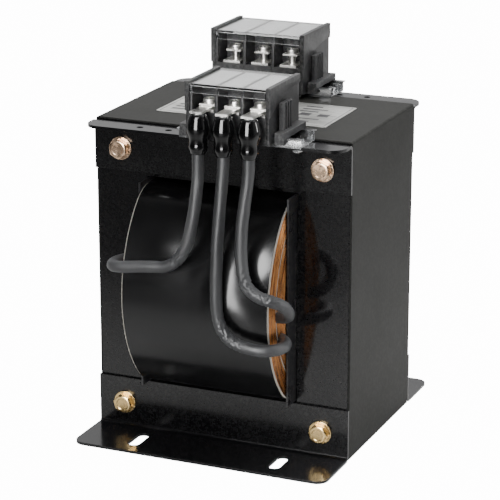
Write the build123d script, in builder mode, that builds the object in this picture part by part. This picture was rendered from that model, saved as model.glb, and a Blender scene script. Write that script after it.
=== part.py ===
"""Dry-type step-down autotransformer with a fixed ratio, for control cabinets.

A shell-type laminated core stands on two folded feet and carries one coil whose axis
lies along X. A folded cover wraps the top and sides. Two rails across the top carry
three-pole screw terminal blocks, and three tap leads come down from the front block.

Millimetres, +Z up. The origin is on the resting plane of the feet, under the core's middle.
"""

import os
from dataclasses import dataclass
from math import pi, radians, sqrt, tan

from build123d import *

os.makedirs("parts", exist_ok=True)

# ---------------------------------------------------------------- driving dimensions
# Core of E and I laminations, stacked along Y
outer_leg = 40.0  # width of the outer legs and of both yokes
centre_leg = 80.0
window_length = 120.0
window_height = 40.0
stack = 130.0
core_lift = 0.5  # from the resting plane to the core's underside

# Folded steel brackets, feet and cover
bracket_sheet = 2.3
bend_radius = 2.0
foot_height = 40.0
foot_depth = 47.7
foot_corner = 9.0
foot_slot_length = 25.0
foot_slot_width = 9.0
foot_slot_x = 57.0
foot_slot_reach = 27.0  # from the stack's faces
top_height = 37.0
top_depth = 20.0
top_corner = 12.0
flange_hole = 5.0
flange_hole_x = (36.0, 59.0)
flange_hole_reach = 13.0  # from the stack's faces
cover_sheet = 1.6
cover_bend = 2.0

# Clamping bolts through the corners of the core
bolt = 8.0
bolt_head_width = 13.0
bolt_head_height = 5.3
bolt_nut_height = 6.5
bolt_spare_length = 4.0
bolt_washer = 17.5
bolt_washer_thickness = 1.6
spring_washer = 13.0
spring_washer_thickness = 2.0
spring_slit = 1.4
sleeve_wall = 0.9

# Coil, wound on a former around the centre leg
former_clearance = 0.75
former_wall = 2.0
cheek = 1.5
cheek_clearance = 1.0
cheek_overhang = 16.0
winding_gap = 0.5
inner_build = 16.0
insulation = 1.0
paper = 0.8
wrap = 0.8
paper_margin = 1.0  # how far the paper shows past the wrap and the windings
coil_clearance = 3.2  # between the wrapped coil and the outer legs
bulge_extra = 14.0  # the windings stand further off the core outside the windows
shoulder_rise = 4.0  # of the coil's corner arcs over the centre leg

# Mounting rails and their screws
front_rail_x = 26.0
front_rail_overhang = 14.0  # from the stack's front face to the rail's middle
front_rail_length = 94.0
rear_rail_x = -17.0
rear_rail_overhang = 6.0
rear_rail_length = 108.0
rail_screw_margin = 8.5  # from a rail's end to its screw
rail_width = 35.0
rail_base = 27.0
rail_height = 7.5
rail_sheet = 1.0
rail_screw = 4.0
rail_screw_head = 8.5
rail_screw_height = 2.8
rail_screw_cross = (5.0, 1.2, 1.2)  # of the cross recess: length, width and depth
rail_screw_spare = 1.0  # past its nut
rail_spacer = 9.0
rail_nut_width = 7.0
rail_nut_height = 3.2

# Terminal blocks
front_block_x = 23.0
front_pitch = 19.5
front_crest = 20.0  # from the terminal platforms to the top of the clear cover
rear_block_x = -18.5
rear_pitch = 23.5
rear_crest = 25.0
block_depth = 55.0
end_plate = 3.5
end_plate_crest = 1.2
partition = 2.2
pole_gap = 0.1  # between neighbouring mouldings on a rail
claw_depth = 4.0  # of the feet, below the rail's lips
claw_hook = 15.9  # from a rail's middle to the hooks under its lips
arch_rise = 15.0
arch_bow = 12.0  # how high the arch has risen at the block's middle
arch_step = 1.0
terminal_rise = 16.0  # from the rail's lips to the terminal platforms
ridge_width = 18.0
bar_width = 13.6
bar_sheet = 1.6
block_screw = 5.0
screw_head = 9.6
screw_head_height = 3.4
screw_head_edge = 1.1  # radius round the top of the head
screw_shank = 12.6
screw_well = 12.0  # depth of the clearance hole under a terminal bar
cross_width = 1.1
cross_length = 5.2
cross_depth = 1.4
washer_width = 12.0
washer_sheet = 1.4
screw_lift = 6.5  # how far a free terminal screw stands up
screw_offset = 15.5  # from a block's middle to its screws
clear_cover = 1.8
cover_lip = 5.2
card = 0.6
card_depth = 46.0
bar_length = 50.0
clamp_width = 7.5
clamp_length = 41.0
clamp_height = 4.5
clamp_tab = 17.0
clamp_tab_rise = 24.0
clamp_tab_sheet = 3.0
clamp_tab_shift = -4.0
clamp_rib = 0.8
clamp_rib_width = 1.7
clamp_rib_pitch = 4.25
clamp_ribs = 4

# Tap leads, their ring lugs and boots
lead = 9.0
lug_ring = 11.6
lug_tongue = 9.2
lug_sheet = 1.6
lug_barrel = 8.4
barrel_length = 17.0
boot_width = 17.0
boot_neck = 11.4
boot_length = 29.0
boot_mouth = 15.4  # its top, a little narrower than its widest part
boot_waist = (15.4, 14.5)  # a width halfway down, and how far below the top it is
boot_taper = 22.6  # from the top to where it has narrowed to its neck
boot_widest = 6.5  # from the top to its widest part
boot_stand_off = 8.9  # from a block's face to the leads' axes

# Rating plate
plate_length = 136.0
plate_width = 66.0
plate_sheet = 0.5
plate_corner = 2.0

# Clearances
running = 0.05  # radial, a screw in its threaded bar
loose = 0.3  # around parts that lift off or slide in
hole_play = 0.4  # radial, bolts and screws in clearance holes

# ---------------------------------------------------------------- derived places
core_width = window_length + 2 * outer_leg
core_height = centre_leg + 2 * window_height + 2 * outer_leg
core_top = core_lift + core_height
coil_z = core_lift + core_height / 2
half_stack = stack / 2
front_rail_y = -(half_stack + front_rail_overhang)
rear_rail_y = half_stack + rear_rail_overhang
flange_hole_y = half_stack + flange_hole_reach
foot_slot_y = half_stack + foot_slot_reach
bracket_width = core_width + 2 * cover_sheet
bracket_face = half_stack + bracket_sheet
cover_top = core_top + cover_sheet
bolt_x = window_length / 2 + outer_leg / 2
bolt_levels = (core_lift + outer_leg / 2, core_top - outer_leg / 2)
bolt_points = [(x, z) for x in (-bolt_x, bolt_x) for z in bolt_levels]
sleeve_radius = bolt / 2 + hole_play / 2 + sleeve_wall
front_rail_reach = front_rail_length / 2 - rail_screw_margin
front_rail_screws = (front_rail_x - front_rail_reach, front_rail_x + front_rail_reach)
rear_rail_reach = rear_rail_length / 2 - rail_screw_margin
rear_rail_screws = (rear_rail_x - rear_rail_reach, rear_rail_x + rear_rail_reach)


def save(piece, name):
    """Label a finished sub-part and write it under its own name."""
    piece.part.label = name
    export_step(piece.part, f"parts/{name}.step")


def across(points, y):
    """Locations at (x, z) points on the plane at y, with their Z axis along -Y."""
    return Locations(*[Location((x, y, z), (90, 0, 0)) for x, z in points])


# ---------------------------------------------------------------- core
with BuildPart() as core_e_stack:
    with BuildSketch(Plane.XZ.offset(-half_stack)):
        with Locations((-outer_leg / 2, coil_z)):
            Rectangle(core_width - outer_leg, core_height)
        for side in (-1, 1):
            with Locations((0, coil_z + side * (centre_leg + window_height) / 2)):
                Rectangle(window_length, window_height, mode=Mode.SUBTRACT)
    extrude(amount=stack)
    with across([p for p in bolt_points if p[0] < 0], 0):
        Cylinder(sleeve_radius + hole_play / 2, stack, mode=Mode.SUBTRACT)
save(core_e_stack, "core_e_stack")

with BuildPart() as core_i_stack:
    with BuildSketch(Plane.XZ.offset(-half_stack)):
        with Locations(((window_length + outer_leg) / 2, coil_z)):
            Rectangle(outer_leg, core_height)
    extrude(amount=stack)
    with across([p for p in bolt_points if p[0] > 0], 0):
        Cylinder(sleeve_radius + hole_play / 2, stack, mode=Mode.SUBTRACT)
save(core_i_stack, "core_i_stack")


# ---------------------------------------------------------------- brackets and cover
def fold(piece, inner, outer, sheet, radius):
    """Round a sheet's fold along X, given the (y, z) of its inner and outer corners."""
    for (y, z), size in ((inner, radius), (outer, radius + sheet)):
        line = piece.edges().filter_by(Axis.X).sort_by_distance((0, y, z))[0]
        fillet(line, size)


def round_corners(piece, y, radius):
    """Round the two free corners of a flange that reaches out to y."""
    corners = piece.edges().filter_by(Axis.Z).sort_by(lambda edge: abs(edge.center().Y - y))
    fillet(corners[:2], radius)


with BuildPart() as front_foot_bracket:
    foot_edge = -bracket_face - foot_depth
    with BuildSketch(Plane.YZ.offset(-bracket_width / 2)):
        with Locations((-bracket_face, 0)):
            Rectangle(bracket_sheet, foot_height, align=(Align.MIN, Align.MIN))
        with Locations((foot_edge, 0)):
            Rectangle(foot_depth + bracket_sheet, bracket_sheet, align=(Align.MIN, Align.MIN))
    extrude(amount=bracket_width)
    fold(
        front_foot_bracket,
        (-bracket_face, bracket_sheet),
        (-half_stack, 0),
        bracket_sheet,
        bend_radius,
    )
    round_corners(front_foot_bracket, foot_edge, foot_corner)
    with BuildSketch(Plane.XY):
        with Locations((-foot_slot_x, -foot_slot_y), (foot_slot_x, -foot_slot_y)):
            SlotOverall(foot_slot_length, foot_slot_width, rotation=90)
    extrude(amount=bracket_sheet, mode=Mode.SUBTRACT)
    with across([p for p in bolt_points if p[1] < coil_z], -bracket_face):
        Cylinder(bolt / 2 + hole_play, 4 * bracket_sheet, mode=Mode.SUBTRACT)
save(front_foot_bracket, "front_foot_bracket")

def top_bracket(facing, rail_screws):
    """A top bracket on the core's front (-1) or rear (1) face."""
    flange_edge = bracket_face + top_depth
    holes = [side * x for x in flange_hole_x for side in (-1, 1)]
    holes = [x for x in holes if min(abs(x - screw) for screw in rail_screws) > flange_hole]
    with BuildPart() as bracket:
        with BuildSketch(Plane.YZ.offset(-bracket_width / 2)):
            with Locations((facing * (half_stack + bracket_sheet / 2), core_top)):
                Rectangle(bracket_sheet, top_height, align=(Align.CENTER, Align.MAX))
            with Locations((facing * (half_stack + flange_edge) / 2, core_top)):
                Rectangle(
                    flange_edge - half_stack, bracket_sheet, align=(Align.CENTER, Align.MAX)
                )
        extrude(amount=bracket_width)
        inner = (facing * bracket_face, core_top - bracket_sheet)
        fold(bracket, inner, (facing * half_stack, core_top), bracket_sheet, bend_radius)
        round_corners(bracket, facing * flange_edge, top_corner)
        with BuildSketch(Plane.XY.offset(core_top)):
            with Locations(*[(x, facing * flange_hole_y) for x in (*holes, *rail_screws)]):
                Circle(flange_hole / 2)
        extrude(amount=-bracket_sheet, mode=Mode.SUBTRACT)
        with across([p for p in bolt_points if p[1] > coil_z], facing * bracket_face):
            Cylinder(bolt / 2 + hole_play, 4 * bracket_sheet, mode=Mode.SUBTRACT)
    return bracket


front_top_bracket = top_bracket(-1, front_rail_screws)
save(front_top_bracket, "front_top_bracket")

rear_top_bracket = top_bracket(1, rear_rail_screws)
save(rear_top_bracket, "rear_top_bracket")

# The rear foot is the same pressing turned to face the other way
with BuildPart() as rear_foot_bracket:
    mirror(front_foot_bracket.part, about=Plane.XZ)
save(rear_foot_bracket, "rear_foot_bracket")

with BuildPart() as cover_panel:
    with BuildSketch(Plane.XZ.offset(-half_stack)):
        with Locations((0, core_lift)):
            Rectangle(bracket_width, core_height + cover_sheet, align=(Align.CENTER, Align.MIN))
            Rectangle(
                core_width, core_height, align=(Align.CENTER, Align.MIN), mode=Mode.SUBTRACT
            )
    extrude(amount=stack)
    top_edges = cover_panel.edges().filter_by(Axis.Y).group_by(Axis.Z)[-1]
    fillet(top_edges, cover_bend)
save(cover_panel, "cover_panel")

# ---------------------------------------------------------------- clamping bolts
bolt_seat = bracket_face  # head washers bear here at the front, nut washers at the rear
head_face = bolt_seat + bolt_washer_thickness
nut_face = head_face + spring_washer_thickness
bolt_length = head_face + nut_face + bolt_nut_height + bolt_spare_length


def ring_set(points, y, outer, inner, thickness):
    """Rings of one thickness on -Y facing seats that start at y and grow towards -Y."""
    with across(points, y - thickness / 2):
        Cylinder(outer, thickness)
        Cylinder(inner, thickness, mode=Mode.SUBTRACT)


with BuildPart() as clamp_bolts:
    for x, z in bolt_points:
        with BuildSketch(Plane(origin=(x, -head_face, z), z_dir=(0, -1, 0))):
            RegularPolygon(bolt_head_width / 2, 6, major_radius=False, rotation=30)
        extrude(amount=bolt_head_height)
        with BuildSketch(Plane(origin=(x, -head_face, z), z_dir=(0, 1, 0))):
            Circle(bolt / 2)
        extrude(amount=bolt_length)
save(clamp_bolts, "clamp_bolts")

with BuildPart() as flat_washers:
    ring_set(bolt_points, -bolt_seat, bolt_washer / 2, bolt / 2 + hole_play, bolt_washer_thickness)
    ring_set(bolt_points, head_face, bolt_washer / 2, bolt / 2 + hole_play, bolt_washer_thickness)
save(flat_washers, "flat_washers")

with BuildPart() as spring_washers:
    ring_set(
        bolt_points, nut_face, spring_washer / 2, bolt / 2 + hole_play / 2, spring_washer_thickness
    )
    with across([(x, z + spring_washer / 2) for x, z in bolt_points], nut_face):
        Box(spring_slit, spring_washer, 3 * spring_washer_thickness, mode=Mode.SUBTRACT)
save(spring_washers, "spring_washers")

with BuildPart() as clamp_nuts:
    for x, z in bolt_points:
        with BuildSketch(Plane(origin=(x, nut_face, z), z_dir=(0, 1, 0))):
            RegularPolygon(bolt_head_width / 2, 6, major_radius=False, rotation=30)
            Circle(bolt / 2 + running, mode=Mode.SUBTRACT)
        extrude(amount=bolt_nut_height)
save(clamp_nuts, "clamp_nuts")

with BuildPart() as bolt_sleeves:
    with across(bolt_points, 0):
        Cylinder(sleeve_radius, stack)
        Cylinder(sleeve_radius - sleeve_wall, stack, mode=Mode.SUBTRACT)
save(bolt_sleeves, "bolt_sleeves")

# ---------------------------------------------------------------- coil
former_z = centre_leg / 2 + former_clearance + former_wall
former_y = half_stack + former_clearance + former_wall
former_half = window_length / 2 - winding_gap
paper_half = former_half - cheek
winding_half = paper_half - paper_margin
coil_height = centre_leg / 2 + window_height - coil_clearance
coil_depth = half_stack + window_height - coil_clearance + bulge_extra
shoulder = centre_leg / 2 + shoulder_rise
wrap_inset = wrap
paper_inset = wrap + paper
layer_inset = coil_height - former_z - inner_build - insulation
coil_plane_x = (0, 1, 0)


def coil_loop(inset):
    """Draw a closed outline in (y, z): flat over the core, a D-shaped end outside each face.

    Each end is a tight arc, a broad arc and a tight arc again, tangent to each other. The
    inset is measured in from the outside of the wrapped coil.
    """
    tight = coil_height - inset - shoulder
    reach = coil_depth - inset - half_stack
    broad = (reach**2 + shoulder**2 - tight**2) / (2 * (reach - tight))
    middle = half_stack + reach - broad
    lean = (half_stack - middle, shoulder)
    lean = (lean[0] / (broad - tight), lean[1] / (broad - tight))
    start = (half_stack, shoulder + tight)
    join = (middle + broad * lean[0], broad * lean[1])
    halfway = sqrt(lean[0] ** 2 + (1 + lean[1]) ** 2)
    bend = (
        half_stack + tight * lean[0] / halfway,
        shoulder + tight * (1 + lean[1]) / halfway,
    )
    for side in (-1, 1):
        Line((-start[0], side * start[1]), (start[0], side * start[1]))
        for y, z in ((1, 1), (1, -1)):
            ThreePointArc(
                (side * start[0], z * start[1]),
                (side * bend[0], z * bend[1]),
                (side * join[0], z * join[1]),
            )
        ThreePointArc(
            (side * join[0], join[1]), (side * (middle + broad), 0), (side * join[0], -join[1])
        )


def coil_layer(half_length, outer_inset, inner_inset=None):
    """One layer of the coil; the innermost one has the former's rectangular hole."""
    with BuildPart() as layer:
        with BuildSketch(Plane(origin=(-half_length, 0, coil_z), x_dir=coil_plane_x, z_dir=(1, 0, 0))):
            with BuildLine():
                coil_loop(outer_inset)
            make_face()
            if inner_inset is None:
                Rectangle(2 * former_y, 2 * former_z, mode=Mode.SUBTRACT)
            else:
                with BuildLine():
                    coil_loop(inner_inset)
                make_face(mode=Mode.SUBTRACT)
        extrude(amount=2 * half_length)
    return layer


with BuildPart() as coil_former:
    with BuildSketch(Plane(origin=(-former_half, 0, coil_z), x_dir=coil_plane_x, z_dir=(1, 0, 0))):
        Rectangle(2 * former_y, 2 * former_z)
        Rectangle(2 * (former_y - former_wall), 2 * (former_z - former_wall), mode=Mode.SUBTRACT)
    extrude(amount=2 * former_half)
save(coil_former, "coil_former")


def end_cheek(side):
    """An insulating plate slipped over the former at one end of the windings."""
    with BuildPart() as plate:
        with BuildSketch(
            Plane(origin=(side * paper_half, 0, coil_z), x_dir=coil_plane_x, z_dir=(1, 0, 0))
        ):
            Rectangle(
                2 * (half_stack + cheek_overhang),
                centre_leg + 2 * window_height - 2 * cheek_clearance,
            )
            Rectangle(2 * former_y, 2 * former_z, mode=Mode.SUBTRACT)
        extrude(amount=side * cheek)
    return plate


left_end_cheek = end_cheek(-1)
save(left_end_cheek, "left_end_cheek")

right_end_cheek = end_cheek(1)
save(right_end_cheek, "right_end_cheek")

inner_winding = coil_layer(winding_half, layer_inset + insulation)
save(inner_winding, "inner_winding")

interlayer_insulation = coil_layer(winding_half, layer_inset, layer_inset + insulation)
save(interlayer_insulation, "interlayer_insulation")

outer_winding = coil_layer(winding_half, paper_inset, layer_inset)
save(outer_winding, "outer_winding")

outer_paper = coil_layer(paper_half, wrap_inset, paper_inset)
save(outer_paper, "outer_paper")

outer_wrap = coil_layer(winding_half, 0, wrap_inset)
save(outer_wrap, "outer_wrap")


# ---------------------------------------------------------------- rails
def rail(x, y, seat, length, screws, screw_y):
    """A top-hat rail along X whose base lies on the seat."""
    with BuildPart() as hat:
        section = Plane(origin=(x - length / 2, y, seat), x_dir=(0, 1, 0), z_dir=(1, 0, 0))
        with BuildSketch(section):
            Rectangle(rail_base, rail_height, align=(Align.CENTER, Align.MIN))
            with Locations((0, rail_height)):
                Rectangle(rail_width, rail_sheet, align=(Align.CENTER, Align.MAX))
            with Locations((0, rail_sheet)):
                Rectangle(
                    rail_base - 2 * rail_sheet,
                    rail_height,
                    align=(Align.CENTER, Align.MIN),
                    mode=Mode.SUBTRACT,
                )
        extrude(amount=length)
        with BuildSketch(Plane.XY.offset(seat)):
            with Locations(*[(screw_x, screw_y) for screw_x in screws]):
                Circle(rail_screw / 2 + hole_play)
        extrude(amount=rail_sheet, mode=Mode.SUBTRACT)
    return hat


front_rail = rail(
    front_rail_x, front_rail_y, core_top, front_rail_length, front_rail_screws, -flange_hole_y
)
save(front_rail, "front_rail")

rear_rail = rail(
    rear_rail_x, rear_rail_y, cover_top, rear_rail_length, rear_rail_screws, flange_hole_y
)
save(rear_rail, "rear_rail")

front_screw_spots = [(x, -flange_hole_y, core_top + rail_sheet) for x in front_rail_screws]
rear_screw_spots = [(x, flange_hole_y, cover_top + rail_sheet) for x in rear_rail_screws]
nut_level = core_top - bracket_sheet

with BuildPart() as rail_screws:
    for x, y, z in front_screw_spots + rear_screw_spots:
        with Locations((x, y, z)):
            Cylinder(
                rail_screw_head / 2, rail_screw_height, align=(Align.CENTER, Align.CENTER, Align.MIN)
            )
            Cylinder(
                rail_screw / 2,
                z - nut_level + rail_nut_height + rail_screw_spare,
                align=(Align.CENTER, Align.CENTER, Align.MAX),
            )
        with Locations((x, y, z + rail_screw_height)):
            length, width, depth = rail_screw_cross
            Box(length, width, 2 * depth, mode=Mode.SUBTRACT)
            Box(width, length, 2 * depth, mode=Mode.SUBTRACT)
save(rail_screws, "rail_screws")

with BuildPart() as rail_nuts:
    for x, y, z in front_screw_spots + rear_screw_spots:
        with BuildSketch(Plane(origin=(x, y, nut_level), z_dir=(0, 0, -1))):
            RegularPolygon(rail_nut_width / 2, 6, major_radius=False)
            Circle(rail_screw / 2 + running, mode=Mode.SUBTRACT)
        extrude(amount=rail_nut_height)
save(rail_nuts, "rail_nuts")

with BuildPart() as rail_spacers:
    with Locations(*[(x, y, core_top + cover_sheet / 2) for x, y, z in rear_screw_spots]):
        Cylinder(rail_spacer / 2, cover_sheet)
        Cylinder(rail_screw / 2 + hole_play, cover_sheet, mode=Mode.SUBTRACT)
save(rail_spacers, "rail_spacers")

with BuildPart() as rating_plate:
    with BuildSketch(Plane.XY.offset(cover_top)):
        RectangleRounded(plate_length, plate_width, plate_corner)
    extrude(amount=plate_sheet)
save(rating_plate, "rating_plate")


# ---------------------------------------------------------------- terminal blocks
@dataclass
class Block:
    """Where a three-pole terminal block stands, and its own sizes."""

    x: float
    y: float
    seat: float
    pitch: float
    crest: float

    @property
    def lips(self):
        return self.seat + rail_height

    @property
    def platform(self):
        return self.lips + terminal_rise

    @property
    def top(self):
        return self.platform + self.crest

    @property
    def poles(self):
        return [self.x + step * self.pitch for step in (-1, 0, 1)]

    @property
    def half(self):
        return 1.5 * self.pitch


front_block = Block(front_block_x, front_rail_y, core_top, front_pitch, front_crest)
rear_block = Block(rear_block_x, rear_rail_y, cover_top, rear_pitch, rear_crest)
half_depth = block_depth / 2
wall_depth = half_depth - loose
lip_clear = half_depth - clear_cover - loose


def side_plane(block, x):
    """A plane facing +X whose (x, y) are the block's (depth, height over the rail's lips)."""
    return Plane(origin=(x, block.y, block.lips), x_dir=(0, 1, 0), z_dir=(1, 0, 0))


def draw_foot(height):
    """Sketch the moulded foot that grips both lips of the rail, up to a height."""
    Rectangle(2 * wall_depth, height, align=(Align.CENTER, Align.MIN))
    for side in (-1, 1):
        inner = rail_width / 2 + loose
        with Locations((side * (inner + wall_depth) / 2, 0)):
            Rectangle(wall_depth - inner, claw_depth, align=(Align.CENTER, Align.MAX))
        with Locations((side * (inner + claw_hook) / 2, -rail_sheet - loose)):
            Rectangle(
                inner - claw_hook, claw_depth - rail_sheet - loose, align=(Align.CENTER, Align.MAX)
            )


def pole_bodies(block):
    """Three moulded poles, each with a wall on its left, a ridge and two platforms."""
    ridge_top = terminal_rise + block.crest - clear_cover - card - loose
    wall_top = terminal_rise + block.crest - clear_cover - loose
    shelf = wall_top - cover_lip
    with BuildPart() as bodies:
        for pole in block.poles:
            left = pole - block.pitch / 2 + pole_gap / 2
            with BuildSketch(side_plane(block, left)):
                draw_foot(terminal_rise)
                Rectangle(ridge_width, ridge_top, align=(Align.CENTER, Align.MIN))
            extrude(amount=block.pitch - pole_gap)
            with BuildSketch(side_plane(block, left)):
                Rectangle(2 * wall_depth, shelf, align=(Align.CENTER, Align.MIN))
                Rectangle(2 * lip_clear, wall_top, align=(Align.CENTER, Align.MIN))
            extrude(amount=partition)
            centre = pole + partition / 2
            with Locations((centre, block.y, block.platform)):
                Box(
                    bar_width + loose,
                    ridge_width + loose,
                    bar_sheet + loose / 2,
                    align=(Align.CENTER, Align.CENTER, Align.MIN),
                    mode=Mode.SUBTRACT,
                )
            for side in (-1, 1):
                with Locations((centre, block.y + side * screw_offset, block.platform)):
                    Cylinder(
                        block_screw / 2 + hole_play,
                        screw_well,
                        align=(Align.CENTER, Align.CENTER, Align.MAX),
                        mode=Mode.SUBTRACT,
                    )
    return bodies


def end_plates(block):
    """Two end plates, each with an arched step on its outer face."""
    crest = terminal_rise + block.crest + end_plate_crest
    thickness = end_plate - pole_gap
    with BuildPart() as plates:
        for side in (-1, 1):
            inside = block.x + side * (block.half + pole_gap)
            with BuildSketch(side_plane(block, inside)):
                Rectangle(2 * half_depth, crest, align=(Align.CENTER, Align.MIN))
                draw_foot(terminal_rise)
            extrude(amount=side * thickness)
            with BuildSketch(side_plane(block, inside + side * thickness)):
                with BuildLine():
                    left_end = (-half_depth, terminal_rise)
                    right_end = (half_depth, arch_rise + terminal_rise)
                    ThreePointArc(left_end, (0, arch_bow + terminal_rise), right_end)
                    Polyline(
                        right_end, (half_depth, -claw_depth), (-half_depth, -claw_depth), left_end
                    )
                make_face()
            extrude(amount=-side * arch_step, mode=Mode.SUBTRACT)
    return plates


def end_clamps(block):
    """Two clamps that stop the block from sliding, each with a ribbed upright tab."""
    with BuildPart() as clamps:
        for side in (-1, 1):
            inside = block.x + side * (block.half + end_plate + pole_gap)
            with BuildSketch(side_plane(block, inside)):
                Rectangle(clamp_length, clamp_height, align=(Align.CENTER, Align.MIN))
                for lip in (-1, 1):
                    inner = rail_width / 2 + loose
                    with Locations((lip * (inner + clamp_length / 2) / 2, 0)):
                        Rectangle(
                            clamp_length / 2 - inner, claw_depth, align=(Align.CENTER, Align.MAX)
                        )
                    with Locations((lip * (inner + claw_hook) / 2, -rail_sheet - loose)):
                        Rectangle(
                            inner - claw_hook,
                            claw_depth - rail_sheet - loose,
                            align=(Align.CENTER, Align.MAX),
                        )
            extrude(amount=side * clamp_width)
            with BuildSketch(side_plane(block, inside)):
                with Locations((clamp_tab_shift, 0)):
                    Rectangle(clamp_tab, clamp_tab_rise, align=(Align.CENTER, Align.MIN))
            extrude(amount=side * clamp_tab_sheet)
            with BuildSketch(side_plane(block, inside + side * clamp_tab_sheet)):
                with Locations((clamp_tab_shift, clamp_height)):
                    with GridLocations(clamp_rib_pitch, clamp_rib_pitch, clamp_ribs, 1):
                        Rectangle(
                            clamp_rib_width,
                            clamp_tab_rise - clamp_height,
                            align=(Align.CENTER, Align.MIN),
                        )
            extrude(amount=side * clamp_rib)
    return clamps


def bar_centres(block):
    return [pole + partition / 2 for pole in block.poles]


def terminal_bars(block):
    """Three plated bars, tapped at both ends, lying on the platforms."""
    with BuildPart() as bars:
        for x in bar_centres(block):
            with Locations((x, block.y, block.platform)):
                Box(bar_width, bar_length, bar_sheet, align=(Align.CENTER, Align.CENTER, Align.MIN))
            for side in (-1, 1):
                with Locations((x, block.y + side * screw_offset, block.platform)):
                    Cylinder(block_screw / 2, 4 * bar_sheet, mode=Mode.SUBTRACT)
    return bars


def screw_set(spots):
    """Cross-head terminal screws whose heads bear at the (x, y, z) spots."""
    with BuildPart() as screws:
        for spot in spots:
            with Locations(spot):
                Cylinder(
                    screw_head / 2, screw_head_height, align=(Align.CENTER, Align.CENTER, Align.MIN)
                )
                Cylinder(
                    block_screw / 2 - running,
                    screw_shank,
                    align=(Align.CENTER, Align.CENTER, Align.MAX),
                )
        rims = screws.edges().filter_by(GeomType.CIRCLE).group_by(Axis.Z)[-1]
        fillet(rims, screw_head_edge)
        for x, y, z in spots:
            with Locations((x, y, z + screw_head_height)):
                Box(cross_length, cross_width, 2 * cross_depth, mode=Mode.SUBTRACT)
                Box(cross_width, cross_length, 2 * cross_depth, mode=Mode.SUBTRACT)
    return screws


def washer_set(spots):
    """Square clamping washers whose tops are at the (x, y, z) spots."""
    with BuildPart() as washers:
        for spot in spots:
            with Locations(spot):
                Box(
                    washer_width,
                    washer_width,
                    washer_sheet,
                    align=(Align.CENTER, Align.CENTER, Align.MAX),
                )
                Cylinder(block_screw / 2 + hole_play / 2, 4 * washer_sheet, mode=Mode.SUBTRACT)
    return washers


def label_cards(block):
    """Blank cards that lie on the ridges under the clear cover."""
    card_level = block.top - clear_cover - card - loose
    with BuildPart() as cards:
        for x in bar_centres(block):
            with Locations((x, block.y, card_level)):
                Box(
                    block.pitch - partition - pole_gap - 2 * loose,
                    card_depth,
                    card,
                    align=(Align.CENTER, Align.CENTER, Align.MIN),
                )
    return cards


def clear_cover_part(block):
    """A clear lid that drops between the end plates, with a lip over each row of screws."""
    length = 2 * (block.half - loose)
    with BuildPart() as lid:
        with BuildSketch(side_plane(block, block.x - length / 2)):
            lid_top = terminal_rise + block.crest
            with Locations((0, lid_top)):
                Rectangle(2 * half_depth, clear_cover + cover_lip, align=(Align.CENTER, Align.MAX))
            with Locations((0, lid_top - clear_cover)):
                Rectangle(
                    2 * (half_depth - clear_cover),
                    cover_lip,
                    align=(Align.CENTER, Align.MAX),
                    mode=Mode.SUBTRACT,
                )
        extrude(amount=length)
    return lid


def row_spots(block, row, height):
    """Where the screws of one row bear, at a height over the terminal bars."""
    level = block.platform + bar_sheet + height
    return [(x, block.y + row * screw_offset, level) for x in bar_centres(block)]


for name, block in (("front", front_block), ("rear", rear_block)):
    save(pole_bodies(block), f"{name}_block_poles")
    save(end_plates(block), f"{name}_block_end_plates")
    save(end_clamps(block), f"{name}_block_end_clamps")
    save(terminal_bars(block), f"{name}_block_bars")
    save(label_cards(block), f"{name}_block_cards")
    save(clear_cover_part(block), f"{name}_block_cover")

# Tightened screws: over the lead lugs in front, and with nothing under them at the back
tight_spots = row_spots(front_block, -1, lug_sheet + washer_sheet)
tight_spots += row_spots(rear_block, 1, washer_sheet)
save(screw_set(tight_spots), "tight_terminal_screws")
save(washer_set(tight_spots), "tight_clamping_washers")

# Free screws: backed off, each with its captive washer, ready for a wire
free_spots = {
    "front_block": row_spots(front_block, 1, washer_sheet + screw_lift),
    "rear_block": row_spots(rear_block, -1, washer_sheet + screw_lift),
}
for name, spots in free_spots.items():
    for number, spot in enumerate(spots, start=1):
        save(screw_set([spot]), f"{name}_screw_{number}")
        save(washer_set([spot]), f"{name}_washer_{number}")

# ---------------------------------------------------------------- lugs, boots and leads
lead_y = front_block.y - half_depth - boot_stand_off
bar_top = front_block.platform + bar_sheet
barrel_end = bar_top - barrel_length
boot_top = bar_top - loose
lug_points = bar_centres(front_block)

with BuildPart() as lead_lugs:
    for x in lug_points:
        with Locations((x, front_block.y - screw_offset, bar_top)):
            Cylinder(lug_ring / 2, lug_sheet, align=(Align.CENTER, Align.CENTER, Align.MIN))
            tongue = front_block.y - screw_offset - lead_y + lug_barrel / 2
            Box(lug_tongue, tongue, lug_sheet, align=(Align.CENTER, Align.MAX, Align.MIN))
            Cylinder(block_screw / 2 + hole_play, 4 * lug_sheet, mode=Mode.SUBTRACT)
        with Locations((x, lead_y, bar_top)):
            Cylinder(lug_barrel / 2, barrel_length, align=(Align.CENTER, Align.CENTER, Align.MAX))
save(lead_lugs, "lead_lugs")

with BuildPart() as lead_boots:
    for x in lug_points:
        with BuildSketch(Plane(origin=(x, lead_y, boot_top), x_dir=(1, 0, 0), z_dir=(0, -1, 0))):
            with BuildLine():
                bore = lug_barrel / 2 + hole_play / 2
                neck_bore = lead / 2 + hole_play / 2
                bore_end = barrel_end - boot_top
                Spline(
                    (boot_mouth / 2, 0),
                    (boot_width / 2, -boot_widest),
                    (boot_waist[0] / 2, -boot_waist[1]),
                    (boot_neck / 2 + loose, -boot_taper),
                    (boot_neck / 2, -boot_length),
                )
                Polyline(
                    (boot_neck / 2, -boot_length),
                    (neck_bore, -boot_length),
                    (neck_bore, bore_end),
                    (bore, bore_end),
                    (bore, 0),
                    (boot_mouth / 2, 0),
                )
            make_face()
        revolve(axis=Axis((x, lead_y, 0), (0, 0, 1)))
save(lead_boots, "lead_boots")

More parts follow.
